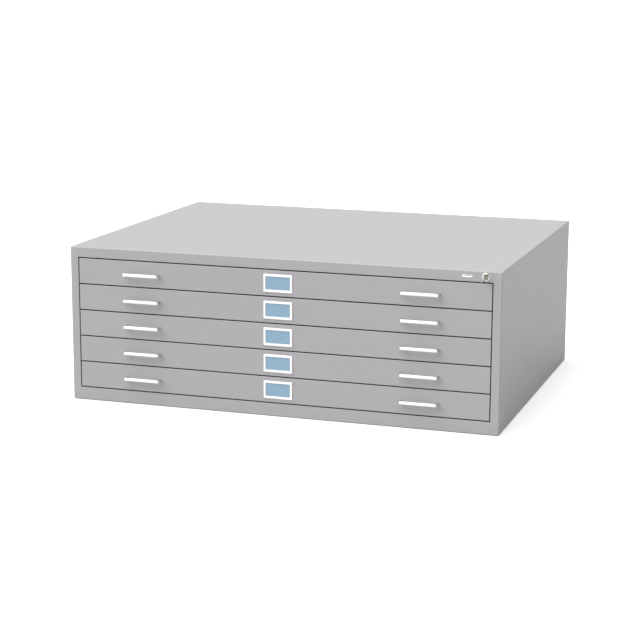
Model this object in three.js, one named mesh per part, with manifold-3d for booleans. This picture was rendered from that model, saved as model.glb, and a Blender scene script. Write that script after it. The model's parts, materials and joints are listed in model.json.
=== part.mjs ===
// Flat file cabinet: a welded steel case with five shallow drawers for large sheets.
// Each drawer rolls on two channels, has a hinged depressor at its front and a fixed hood at its rear,
// and one keyed lock at the top right drops a bar that holds all the drawers shut.
//
// Millimetres. +Z is up, the drawers face -Y, and the origin is the centre of the case's underside.
import * as THREE from 'three';
import { mergeVertices } from 'three/addons/utils/BufferGeometryUtils.js';
import Module from 'manifold-3d';

const wasm = await Module();
wasm.setup();

// ---------------------------------------------------------------- driving dimensions

const INCH = 25.4;
const FIT = 0.3; // gap left between two separate pieces that touch on the real cabinet
const PAST = 1; // how far a cut runs past the face that it opens

const CASE = { width: 46.375 * INCH, depth: 35.375 * INCH, height: 16.5 * INCH, sheet: 0.9, bend: 1.2 };
const FRAME = { stile: 22.5, stileHem: 14, topRail: 28, bottomRail: 34, lip: 18, backFlange: 15 };

const DRAWERS = 5; // drawer 1 is the top one
const GAP = { between: 3, side: 2.5 }; // round each drawer front
const FRONT = { depth: 20, sheet: 0.9 };
const TRAY = {
  width: 43 * INCH, // inside
  depth: 32 * INCH, // inside
  height: 2.125 * INCH, // inside
  sheet: 0.8,
  lift: 3, // underside of the floor above the bottom edge of the front
  hood: 90, // how far the hood reaches forward from the rear wall
  hoodDrop: 6, // how far the hood's front edge turns down
};

const CHANNEL = {
  sheet: 1.2,
  inner: 25.4, // between the flanges
  bottom: 14, // running face of the lower flange above the bottom edge of the front
  tip: 554, // inner edge of the flanges, from the middle of the case
  back: 575, // outer face of the web
  front: -420,
  rear: 432,
};
const UPRIGHT = { width: 30, front: -385, rear: 350, bottom: 4, top: 396 };
const RUNNER = {
  sheet: 1.2,
  tip: 562,
  setback: 14, // how far the runner starts behind the tray's front
  drop: 2.2, // from the underside of the channel's top flange to the underside of the runner
  short: 6, // how far the runner stops short of the roller
};
const ROLLER = { radius: 12.3, width: 8, bore: 3.3, inner: 556.5, fromRear: 25 };
const STUB = { radius: 3, collar: 5, end: 566.5 };

const HANDLE = { length: 101, reach: 22, height: 8, thickness: 4, spacing: 30 * INCH, bend: 2 };
const LABEL = { width: 79, height: 47.5, side: 6, top: 6, bottom: 7, thickness: 2.2, lip: 1 };
const CARD = { thickness: 0.4, margin: 3 }; // margin: how far the card reaches behind the frame
const BADGE = { width: 28, height: 8, thickness: 1, x: 500 };

const DEPRESSOR = {
  length: 78,
  pivotBehindFront: 33, // behind the face of the drawer front
  pivotAboveFloor: 46,
  pin: 2,
  pinHole: 2.4,
  pinProud: 2, // how far a pin stands out of the tray
  pinInset: 6, // how far it reaches into the flap
  wallGap: 3,
  flange: 7,
  lean: 1, // how far the front flange leans forward
};

const LOCK = {
  x: 547,
  height: 405,
  flangeRadius: 10.5,
  flangeThickness: 2.5,
  barrel: 9,
  bore: 6.8,
  plug: 6.5,
  plugProud: 0.8, // how far the plug stands out of the flange
  barrelEnd: -432,
  nutFlats: 22, // across the flats
  nutThickness: 3,
};
const CAM = { radius: 8.5, boss: 6, pin: 2, rim: 2, pinProud: 1, front: -431.2, thickness: 2 };
const LOCK_BAR = {
  inner: 569.5,
  outer: 581.5,
  front: -428,
  thickness: 3,
  hookTip: 556,
  hookBottom: 58.5, // above the bottom edge of the drawer front, unlocked
  hookHeight: 8,
  tail: 15, // how far the bar reaches below the lowest hook
  armHeight: 13,
  slot: 2.7, // half the height of the slot that the cam's pin runs in
  slotPlay: 0.5, // at each end of the slot
};
const STRIKE = { tip: 560, front: -422, thickness: 3, bottom: 46, height: 10 };
const KEY = {
  thickness: 1.5,
  blade: 7,
  inPlug: 18,
  shoulder: 3, // from the plug's face to the bow
  bowRadius: 11,
  bowHole: 4,
  holeFromEdge: 6.5,
};
const RING = { radius: 7.8, wire: 0.8 }; // its foot stays above the top drawer's path

const ROUND = 24; // sides on a turned part

// ---------------------------------------------------------------- derived places

const halfWidth = CASE.width / 2;
const face = -CASE.depth / 2; // the front plane of the case and of the drawer fronts
const rear = CASE.depth / 2;
const openingHalf = halfWidth - FRAME.stile;
const openingHeight = CASE.height - FRAME.topRail - FRAME.bottomRail;
const frontHeight = (openingHeight - (DRAWERS + 1) * GAP.between) / DRAWERS;
const pitch = frontHeight + GAP.between;
const frontHalf = openingHalf - GAP.side;
const drawerBottom = (n) => FRAME.bottomRail + GAP.between + (DRAWERS - n) * pitch;

const trayHalf = TRAY.width / 2 + TRAY.sheet;
const trayFront = face + FRONT.depth + FIT;
const trayRear = trayFront + TRAY.depth + 2 * TRAY.sheet;
const trayWallTop = TRAY.lift + TRAY.sheet + TRAY.height;
const rollerHeight = CHANNEL.bottom + FIT + ROLLER.radius;
const rollerY = trayRear - ROLLER.fromRear;
const pivotY = face + DEPRESSOR.pivotBehindFront;
const pivotZ = TRAY.lift + TRAY.sheet + DEPRESSOR.pivotAboveFloor;

const barrelFront = face - FIT - LOCK.flangeThickness;
const keyLength = KEY.inPlug + KEY.shoulder + 2 * KEY.bowRadius;
const keyHole = keyLength - KEY.holeFromEdge; // from the tip of the blade to the hole in the bow
const holeY = barrelFront + KEY.inPlug - keyHole; // where the hole is while the key is in the lock

// ---------------------------------------------------------------- materials

function finish(color, roughness, metalness) {
  return new THREE.MeshStandardMaterial({ color, roughness, metalness });
}
const greyPaint = finish(0xb4b3b7, 0.45, 0.1);
const zincSteel = finish(0xa9adb0, 0.4, 0.9);
const chrome = finish(0xe8e8ea, 0.12, 1);
const blueCard = finish(0x9fb6cc, 0.8, 0);
const rollerSteel = finish(0x8c8f92, 0.3, 1);
const nickel = finish(0xc9c8c3, 0.25, 1);

// ---------------------------------------------------------------- solids

// A closed three.js geometry as a manifold-3d solid, ready to be joined or cut.
function solid(geometry) {
  geometry.deleteAttribute('normal');
  geometry.deleteAttribute('uv');
  const merged = mergeVertices(geometry, 1e-4);
  return new wasm.Manifold(new wasm.Mesh({
    numProp: 3,
    vertProperties: new Float32Array(merged.attributes.position.array),
    triVerts: new Uint32Array(merged.index.array),
  }));
}

// The faceted three.js geometry of a manifold-3d solid.
function geometryOf(body) {
  const { vertProperties, triVerts } = body.getMesh();
  const indexed = new THREE.BufferGeometry();
  indexed.setAttribute('position', new THREE.BufferAttribute(vertProperties, 3));
  indexed.setIndex(new THREE.BufferAttribute(triVerts, 1));
  const faceted = indexed.toNonIndexed();
  faceted.computeVertexNormals();
  return faceted;
}

// A block between two corners.
function block([x0, x1], [y0, y1], [z0, z1]) {
  const geometry = new THREE.BoxGeometry(x1 - x0, y1 - y0, z1 - z0);
  return solid(geometry.translate((x0 + x1) / 2, (y0 + y1) / 2, (z0 + z1) / 2));
}

// A cylinder along X, through (y, z).
function rodX([x0, x1], y, z, radius, sides = ROUND) {
  const geometry = new THREE.CylinderGeometry(radius, radius, x1 - x0, sides);
  return solid(geometry.rotateZ(Math.PI / 2).translate((x0 + x1) / 2, y, z));
}

// A cylinder along Y, through (x, z).
function rodY([y0, y1], x, z, radius, sides = ROUND) {
  const geometry = new THREE.CylinderGeometry(radius, radius, y1 - y0, sides);
  return solid(geometry.translate(x, (y0 + y1) / 2, z));
}

// The outline of a strip bent from sheet: one face follows the path, and the metal lies on its left.
function bentStrip(path, thickness, insideRadius, steps = 3) {
  const points = path.map(([x, y]) => new THREE.Vector2(x, y));
  const normals = points.slice(1).map((point, i) => {
    const along = point.clone().sub(points[i]).normalize();
    return new THREE.Vector2(-along.y, along.x);
  });
  const near = [points[0].clone()];
  const far = [points[0].clone().addScaledVector(normals[0], thickness)];
  for (let i = 1; i < points.length - 1; i++) {
    const [before, after] = [normals[i - 1], normals[i]];
    const turn = Math.sign(before.cross(after)); // 1 where the strip turns towards the metal
    const nearRadius = turn > 0 ? insideRadius + thickness : insideRadius;
    const farRadius = turn > 0 ? insideRadius : insideRadius + thickness;
    const bisector = before.clone().add(after).divideScalar(1 + before.dot(after));
    const centre = points[i].clone().addScaledVector(bisector, turn * nearRadius);
    for (let step = 0; step <= steps; step++) {
      const angle = Math.atan2(before.y, before.x) + turn * Math.acos(before.dot(after)) * (step / steps);
      const normal = new THREE.Vector2(Math.cos(angle), Math.sin(angle));
      near.push(centre.clone().addScaledVector(normal, -turn * nearRadius));
      far.push(centre.clone().addScaledVector(normal, -turn * farRadius));
    }
  }
  const last = points[points.length - 1];
  near.push(last.clone());
  far.push(last.clone().addScaledVector(normals[normals.length - 1], thickness));
  return new THREE.Shape([...near, ...far.reverse()]);
}

function extrude(shape, depth) {
  return new THREE.ExtrudeGeometry(shape, { depth, bevelEnabled: false, curveSegments: 8 });
}

// A shape drawn in X and Y, drawn up along Z.
function alongZ(shape, [z0, z1]) {
  return solid(extrude(shape, z1 - z0).translate(0, 0, z0));
}

// A shape drawn in Y and Z, drawn along X.
function alongX(shape, [x0, x1]) {
  const turn = new THREE.Matrix4().makeBasis(
    new THREE.Vector3(0, 1, 0), new THREE.Vector3(0, 0, 1), new THREE.Vector3(1, 0, 0));
  return solid(extrude(shape, x1 - x0).applyMatrix4(turn).translate(x0, 0, 0));
}

// A shape drawn in X and Z, drawn along Y.
function alongY(shape, [y0, y1]) {
  const turn = new THREE.Matrix4().makeBasis(
    new THREE.Vector3(1, 0, 0), new THREE.Vector3(0, 0, 1), new THREE.Vector3(0, -1, 0));
  return solid(extrude(shape, y1 - y0).applyMatrix4(turn).translate(0, y1, 0));
}

const join = (...bodies) => bodies.reduce((all, body) => all.add(body));

const cabinet = new THREE.Group();

// Adds one named piece, built on the right side of the cabinet and mirrored for the left where that is asked.
function add(name, body, material, mirrored = false) {
  const mesh = new THREE.Mesh(geometryOf(body), material);
  mesh.name = name;
  if (mirrored) mesh.scale.x = -1;
  cabinet.add(mesh);
}

// ---------------------------------------------------------------- case

// A side panel: the front edge returns to form the stile beside the drawers, and hems back.
function sidePanel() {
  const profile = bentStrip([
    [openingHalf, face + FRAME.stileHem],
    [openingHalf, face],
    [halfWidth, face],
    [halfWidth, rear],
  ], CASE.sheet, CASE.bend);
  const clear = CASE.sheet + FIT;
  const inside = [openingHalf - PAST, halfWidth - clear];
  const sides = [face - PAST, rear + PAST];
  return alongZ(profile, [0, CASE.height])
    .subtract(block(inside, sides, [CASE.height - clear, CASE.height + PAST]))
    .subtract(block(inside, sides, [-PAST, clear]));
}

// A top or bottom panel lies between the side panels; this cuts its front edge back to clear both stiles.
function betweenStiles(body, [z0, z1]) {
  const reach = [openingHalf - FIT, halfWidth];
  const depth = [face - PAST, face + FRAME.lip + PAST];
  return body
    .subtract(block(reach, depth, [z0, z1]))
    .subtract(block([-reach[1], -reach[0]], depth, [z0, z1]));
}

function topPanel() {
  const profile = bentStrip([
    [rear, CASE.height],
    [face, CASE.height],
    [face, CASE.height - FRAME.topRail],
    [face + FRAME.lip, CASE.height - FRAME.topRail],
  ], CASE.sheet, CASE.bend);
  const span = halfWidth - CASE.sheet - FIT;
  const sheet = betweenStiles(alongX(profile, [-span, span]), [0, CASE.height - CASE.sheet]);
  const hole = rodY([face - PAST, face + CASE.sheet + PAST], LOCK.x, LOCK.height, LOCK.barrel + FIT);
  return sheet.subtract(hole);
}

function bottomPanel() {
  const profile = bentStrip([
    [face + FRAME.lip, FRAME.bottomRail],
    [face, FRAME.bottomRail],
    [face, 0],
    [rear, 0],
  ], CASE.sheet, CASE.bend);
  const span = halfWidth - CASE.sheet - FIT;
  return betweenStiles(alongX(profile, [-span, span]), [CASE.sheet, CASE.height]);
}

function backPanel() {
  const side = halfWidth - CASE.sheet - FIT;
  const profile = bentStrip([
    [side, rear - FRAME.backFlange],
    [side, rear],
    [-side, rear],
    [-side, rear - FRAME.backFlange],
  ], CASE.sheet, CASE.bend);
  return alongZ(profile, [CASE.sheet + FIT, CASE.height - CASE.sheet - FIT]);
}

// The welded rack on one side: two uprights that carry one channel for each drawer.
function trackRack() {
  const side = halfWidth - CASE.sheet - FIT;
  const upright = (y) => alongZ(bentStrip([
    [side, y - UPRIGHT.width / 2],
    [CHANNEL.back - CHANNEL.sheet / 2, y - UPRIGHT.width / 2],
    [CHANNEL.back - CHANNEL.sheet / 2, y + UPRIGHT.width / 2],
    [side, y + UPRIGHT.width / 2],
  ].reverse(), CHANNEL.sheet, CHANNEL.sheet), [UPRIGHT.bottom, UPRIGHT.top]);
  const channel = (n) => {
    const low = drawerBottom(n) + CHANNEL.bottom - CHANNEL.sheet;
    const high = low + CHANNEL.inner + 2 * CHANNEL.sheet;
    return alongY(bentStrip([
      [CHANNEL.tip, low],
      [CHANNEL.back, low],
      [CHANNEL.back, high],
      [CHANNEL.tip, high],
    ], CHANNEL.sheet, CHANNEL.sheet / 2, 2), [CHANNEL.front, CHANNEL.rear]);
  };
  const channels = Array.from({ length: DRAWERS }, (_, i) => channel(i + 1));
  return join(upright(UPRIGHT.front), upright(UPRIGHT.rear), ...channels);
}

function badge() {
  const y = face - FIT;
  const half = BADGE.width / 2;
  return block([BADGE.x - half, BADGE.x + half], [y - BADGE.thickness, y],
    [LOCK.height - BADGE.height / 2, LOCK.height + BADGE.height / 2]);
}

add('top_panel', topPanel(), greyPaint);
add('bottom_panel', bottomPanel(), greyPaint);
add('back_panel', backPanel(), greyPaint);
add('side_panel_right', sidePanel(), greyPaint);
add('side_panel_left', sidePanel(), greyPaint, true);
add('track_rack_right', trackRack(), zincSteel);
add('track_rack_left', trackRack(), zincSteel, true);
add('blank_badge', badge(), chrome);

// ---------------------------------------------------------------- drawers

// The front is a shallow pan: a face with a return on all four sides.
function drawerFront(bottom) {
  const shell = block([-frontHalf, frontHalf], [face, face + FRONT.depth], [bottom, bottom + frontHeight]);
  const inner = frontHalf - FRONT.sheet;
  return shell.subtract(block([-inner, inner], [face + FRONT.sheet, face + FRONT.depth + PAST],
    [bottom + FRONT.sheet, bottom + frontHeight - FRONT.sheet]));
}

// The hood covers the rear of the tray and turns down along its front edge.
function hood(bottom) {
  const top = bottom + trayWallTop;
  const edge = trayRear - TRAY.hood;
  const shape = bentStrip([
    [trayRear - TRAY.sheet / 2, top],
    [edge, top],
    [edge - TRAY.hoodDrop / 2, top - TRAY.hoodDrop],
  ], TRAY.sheet, TRAY.sheet);
  return alongX(shape, [-trayHalf + TRAY.sheet / 2, trayHalf - TRAY.sheet / 2]);
}

// A stretch along X on one side of the cabinet: side is 1 on the right and -1 on the left.
const beside = (side, inner, outer) => [side * inner, side * outer].sort((a, b) => a - b);

// The stub that carries a roller: a collar at the tray, the journal, and a head that keeps the roller on.
function rollerStub(side, bottom) {
  const z = bottom + rollerHeight;
  const wall = trayHalf - TRAY.sheet / 2;
  const rollerEnd = ROLLER.inner + ROLLER.width + FIT;
  return join(
    rodX(beside(side, wall, ROLLER.inner - FIT), rollerY, z, STUB.collar),
    rodX(beside(side, wall, STUB.end), rollerY, z, STUB.radius),
    rodX(beside(side, rollerEnd, STUB.end), rollerY, z, STUB.collar),
  );
}

// The flange along a tray's side that rests on the roller at the front of the channel.
function runner(side, bottom) {
  const low = bottom + CHANNEL.bottom + CHANNEL.inner - RUNNER.drop;
  const end = rollerY - ROLLER.radius - RUNNER.short;
  return block(beside(side, trayHalf - TRAY.sheet / 2, RUNNER.tip), [trayFront + RUNNER.setback, end],
    [low, low + RUNNER.sheet]);
}

// The tray: floor, four walls, hood, side runners, roller stubs and the strike that the lock bar holds.
function drawerTray(bottom) {
  const floor = bottom + TRAY.lift;
  const shell = block([-trayHalf, trayHalf], [trayFront, trayRear], [floor, bottom + trayWallTop]);
  const pan = shell.subtract(block([-TRAY.width / 2, TRAY.width / 2],
    [trayFront + TRAY.sheet, trayRear - TRAY.sheet], [floor + TRAY.sheet, bottom + trayWallTop + PAST]));
  const strike = block([trayHalf - TRAY.sheet / 2, STRIKE.tip],
    [STRIKE.front, STRIKE.front + STRIKE.thickness],
    [bottom + STRIKE.bottom, bottom + STRIKE.bottom + STRIKE.height]);
  const fittings = [-1, 1].flatMap((side) => [runner(side, bottom), rollerStub(side, bottom)]);
  const pinHoles = rodX([-trayHalf - PAST, trayHalf + PAST], pivotY, bottom + pivotZ, DEPRESSOR.pinHole, 16);
  return join(pan, hood(bottom), ...fittings, strike).subtract(pinHoles);
}

// A pull bent from flat bar; its feet stand on the drawer front.
function handle(centre, bottom) {
  const [left, right] = [centre - HANDLE.length / 2, centre + HANDLE.length / 2];
  const foot = face - FIT;
  const z = bottom + frontHeight / 2;
  return alongZ(bentStrip([
    [left, foot],
    [left, foot - HANDLE.reach],
    [right, foot - HANDLE.reach],
    [right, foot],
  ], HANDLE.thickness, HANDLE.bend, 4), [z - HANDLE.height / 2, z + HANDLE.height / 2]);
}

// The frame that holds the card: a window in front, and a pocket behind for the card.
function labelFrame(bottom) {
  const z = bottom + frontHeight / 2;
  const [half, low, high] = [LABEL.width / 2, z - LABEL.height / 2, z + LABEL.height / 2];
  const back = face - FIT;
  const pocketFront = back - LABEL.thickness + LABEL.lip;
  const reach = CARD.margin + FIT;
  const window = { x: half - LABEL.side, low: low + LABEL.bottom, high: high - LABEL.top };
  const through = [back - LABEL.thickness - PAST, back + PAST];
  return block([-half, half], [back - LABEL.thickness, back], [low, high])
    .subtract(block([-window.x, window.x], through, [window.low, window.high]))
    .subtract(block([-window.x - reach, window.x + reach], [pocketFront, back + PAST],
      [window.low - reach, window.high + reach]));
}

function labelCard(bottom) {
  const z = bottom + frontHeight / 2;
  const half = LABEL.width / 2 - LABEL.side + CARD.margin;
  const front = face - FIT - LABEL.thickness + LABEL.lip + FIT;
  return block([-half, half], [front, front + CARD.thickness],
    [z - LABEL.height / 2 + LABEL.bottom - CARD.margin, z + LABEL.height / 2 - LABEL.top + CARD.margin]);
}

// The flap that presses the sheets down: it slopes from its pins to the tray's floor.
function depressor(bottom) {
  const z = bottom + pivotZ;
  const fall = DEPRESSOR.pivotAboveFloor - FIT - TRAY.sheet;
  const run = Math.sqrt(DEPRESSOR.length ** 2 - fall ** 2);
  const half = TRAY.width / 2 - DEPRESSOR.wallGap;
  const flap = alongX(bentStrip([
    [pivotY + run, z - fall + DEPRESSOR.flange],
    [pivotY + run, z - fall],
    [pivotY, z],
    [pivotY - DEPRESSOR.lean, z - DEPRESSOR.flange],
  ], TRAY.sheet, TRAY.sheet), [-half, half]);
  const pin = (side) => rodX(beside(side, half - DEPRESSOR.pinInset, trayHalf + DEPRESSOR.pinProud),
    pivotY, z, DEPRESSOR.pin, 16);
  return join(flap, pin(-1), pin(1));
}

function roller(bottom) {
  const z = bottom + rollerHeight;
  const ends = [ROLLER.inner, ROLLER.inner + ROLLER.width];
  return rodX(ends, rollerY, z, ROLLER.radius, 32)
    .subtract(rodX([ends[0] - PAST, ends[1] + PAST], rollerY, z, ROLLER.bore));
}

for (let n = 1; n <= DRAWERS; n++) {
  const bottom = drawerBottom(n);
  add(`drawer_${n}_front`, drawerFront(bottom), greyPaint);
  add(`drawer_${n}_tray`, drawerTray(bottom), greyPaint);
  add(`drawer_${n}_handle_left`, handle(-HANDLE.spacing / 2, bottom), chrome);
  add(`drawer_${n}_handle_right`, handle(HANDLE.spacing / 2, bottom), chrome);
  add(`drawer_${n}_label_frame`, labelFrame(bottom), chrome);
  add(`drawer_${n}_label_card`, labelCard(bottom), blueCard);
  add(`drawer_${n}_depressor`, depressor(bottom), greyPaint);
  add(`drawer_${n}_roller_right`, roller(bottom), rollerSteel);
  add(`drawer_${n}_roller_left`, roller(bottom), rollerSteel, true);
}

// ---------------------------------------------------------------- lock and key

// The fixed barrel, with a flange in front of the top rail.
function lockHousing() {
  const bore = rodY([barrelFront - PAST, LOCK.barrelEnd + PAST], LOCK.x, LOCK.height, LOCK.bore);
  return join(
    rodY([barrelFront, face - FIT], LOCK.x, LOCK.height, LOCK.flangeRadius, 32),
    rodY([barrelFront + LOCK.flangeThickness / 2, LOCK.barrelEnd], LOCK.x, LOCK.height, LOCK.barrel, 32),
  ).subtract(bore);
}

// The hexagonal nut that clamps the barrel behind the top rail.
function lockNut() {
  const front = face + CASE.sheet + FIT;
  const depth = [front, front + LOCK.nutThickness];
  const corner = LOCK.nutFlats / 2 / Math.cos(Math.PI / 6);
  return rodY(depth, LOCK.x, LOCK.height, corner, 6)
    .subtract(rodY([depth[0] - PAST, depth[1] + PAST], LOCK.x, LOCK.height, LOCK.barrel + FIT, 32));
}

// The plug turns in the barrel; a keyway runs in from its face.
function lockPlug() {
  const halfSlot = KEY.thickness / 2 + FIT;
  const halfHigh = KEY.blade / 2 + FIT;
  const keyway = block([LOCK.x - halfSlot, LOCK.x + halfSlot],
    [barrelFront - LOCK.plugProud - PAST, barrelFront + KEY.inPlug + FIT],
    [LOCK.height - halfHigh, LOCK.height + halfHigh]);
  const body = rodY([barrelFront - LOCK.plugProud, CAM.front - FIT], LOCK.x, LOCK.height, LOCK.plug);
  return body.subtract(keyway);
}

// The cam on the rear of the plug; its pin stands 45 degrees up on the side of the lock bar.
function lockCam() {
  const reach = CAM.radius * Math.SQRT1_2;
  const [x, z] = [LOCK.x + reach, LOCK.height + reach];
  const plate = [CAM.front, CAM.front + CAM.thickness];
  const link = new THREE.Shape();
  link.absarc(LOCK.x, LOCK.height, CAM.boss, Math.PI * 0.75, Math.PI * 1.75);
  link.absarc(x, z, CAM.pin + CAM.rim, -Math.PI / 4, Math.PI * 0.75);
  const pinEnd = LOCK_BAR.front + LOCK_BAR.thickness + CAM.pinProud;
  return join(alongY(link, plate), rodY([plate[0], pinEnd], x, z, CAM.pin, 16));
}

// The bar behind the right stile: one hook for each drawer, and an arm over the top drawer to the cam.
function lockBar() {
  const depth = [LOCK_BAR.front, LOCK_BAR.front + LOCK_BAR.thickness];
  const pinX = LOCK.x + CAM.radius * Math.SQRT1_2;
  const pinZ = LOCK.height + CAM.radius * Math.SQRT1_2;
  const high = pinZ + LOCK_BAR.armHeight / 2;
  const low = drawerBottom(DRAWERS) + LOCK_BAR.hookBottom - LOCK_BAR.tail;
  const slotEnd = LOCK_BAR.slot + LOCK_BAR.slotPlay;
  const slot = block([pinX - slotEnd, LOCK.x + CAM.radius + slotEnd],
    [depth[0] - PAST, depth[1] + PAST], [pinZ - LOCK_BAR.slot, pinZ + LOCK_BAR.slot]);
  const arm = block([LOCK.x, LOCK_BAR.outer], depth, [high - LOCK_BAR.armHeight, high]).subtract(slot);
  const hooks = Array.from({ length: DRAWERS }, (_, i) => {
    const bottom = drawerBottom(i + 1) + LOCK_BAR.hookBottom;
    return block([LOCK_BAR.hookTip, LOCK_BAR.outer], depth, [bottom, bottom + LOCK_BAR.hookHeight]);
  });
  return join(block([LOCK_BAR.inner, LOCK_BAR.outer], depth, [low, high]), arm, ...hooks);
}

// A key drawn flat along X, with its tip at the origin.
function keyShape() {
  const centre = keyLength - KEY.bowRadius;
  const half = KEY.blade / 2;
  const meet = Math.asin(half / KEY.bowRadius);
  const shape = new THREE.Shape();
  shape.moveTo(0, -half / 2);
  shape.lineTo(half / 2, -half);
  shape.absarc(centre, 0, KEY.bowRadius, -Math.PI + meet, Math.PI - meet);
  shape.lineTo(half / 2, half);
  shape.lineTo(0, half / 2);
  shape.closePath();
  const hole = new THREE.Path();
  hole.absarc(keyHole, 0, KEY.bowHole, 0, 2 * Math.PI, true);
  shape.holes.push(hole);
  return shape;
}

// The key in the lock: its blade runs back into the plug, and its bow stands upright.
function keyInLock() {
  const turn = new THREE.Matrix4().makeBasis(
    new THREE.Vector3(0, -1, 0), new THREE.Vector3(0, 0, 1), new THREE.Vector3(-1, 0, 0));
  const plate = extrude(keyShape(), KEY.thickness).translate(-keyHole, 0, -KEY.thickness / 2);
  return solid(plate.applyMatrix4(turn).translate(LOCK.x, holeY, LOCK.height));
}

// The ring hangs from the hole in the key's bow.
function keyRing() {
  const torus = new THREE.TorusGeometry(RING.radius, RING.wire, 8, 28).rotateX(Math.PI / 2);
  return solid(torus.translate(LOCK.x, holeY, LOCK.height - RING.radius));
}

add('lock_housing', lockHousing(), chrome);
add('lock_nut', lockNut(), zincSteel);
add('lock_plug', lockPlug(), nickel);
add('lock_cam', lockCam(), zincSteel);
add('lock_bar', lockBar(), zincSteel);
add('key_in_lock', keyInLock(), nickel);
add('key_ring', keyRing(), nickel);

export default cabinet;
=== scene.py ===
"""The looks of a five-drawer steel flat file, built around its frame: enamelled sheet metal, chrome pulls and
card holders, zinc-plated tracks, drawers that open, and one keyed lock."""

import json
import math

import bmesh
import bpy
from bpy.props import FloatProperty, FloatVectorProperty, PointerProperty
from mathutils import Matrix, Vector


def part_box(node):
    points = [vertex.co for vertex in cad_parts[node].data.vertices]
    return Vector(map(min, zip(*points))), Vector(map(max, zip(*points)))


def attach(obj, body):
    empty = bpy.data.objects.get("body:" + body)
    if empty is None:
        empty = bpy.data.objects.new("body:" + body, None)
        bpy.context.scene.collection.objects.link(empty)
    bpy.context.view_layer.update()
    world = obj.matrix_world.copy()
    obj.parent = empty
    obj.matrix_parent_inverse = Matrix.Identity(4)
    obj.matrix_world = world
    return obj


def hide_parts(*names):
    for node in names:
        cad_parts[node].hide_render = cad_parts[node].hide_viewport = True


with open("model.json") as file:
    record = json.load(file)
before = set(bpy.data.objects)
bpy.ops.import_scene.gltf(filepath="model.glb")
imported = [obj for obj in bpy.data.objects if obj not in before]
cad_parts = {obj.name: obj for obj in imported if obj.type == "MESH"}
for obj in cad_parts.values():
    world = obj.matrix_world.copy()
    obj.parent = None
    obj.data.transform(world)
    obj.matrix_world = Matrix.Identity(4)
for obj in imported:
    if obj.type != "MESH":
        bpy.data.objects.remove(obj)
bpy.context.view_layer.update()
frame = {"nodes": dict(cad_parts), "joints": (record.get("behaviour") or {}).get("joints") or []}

bl_info = {
    "name": "Flat file cabinet",
    "version": (1, 0, 0),
    "blender": (4, 5, 0),
    "location": "3D View > Sidebar > Flat File",
    "description": "Builds an enamelled steel flat file cabinet around its frame",
    "category": "Object",
}

MM = 0.001
INCH = 0.0254
TINY = 1e-5
BROKEN_EDGE = 0.2 * MM  # soft line on the edges of the case, the fronts and the card holders
FINE_EDGE = 0.15 * MM  # the same on thinner sheet and on the cards
SET_IN = 0.4 * MM  # how far a piece reaches into the wall that it is welded or riveted to
AXLE = 3 * MM  # radius of the pins and stubs that carry rollers
ROLLER_BORE = 3.3 * MM
CORE = 0.05 * MM  # radius of the narrow hole that a spun pin keeps along its axis
DRAWERS = range(1, 1 + sum(name.endswith("_tray") for name in frame["nodes"]))
SIDES = {"left": -1, "right": 1}


# ------------------------------------------------------------------------------------------------ settings


def length(name, description, millimetres):
    """A size that a user may change, given in millimetres and kept in metres."""
    return FloatProperty(
        name=name, description=description, default=millimetres * MM, min=0, unit="LENGTH")


def colour(name, description, rgb):
    """A colour that a user may change, in linear light."""
    return FloatVectorProperty(
        name=name, description=description, default=rgb, size=3, min=0, max=1, subtype="COLOR")


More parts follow.
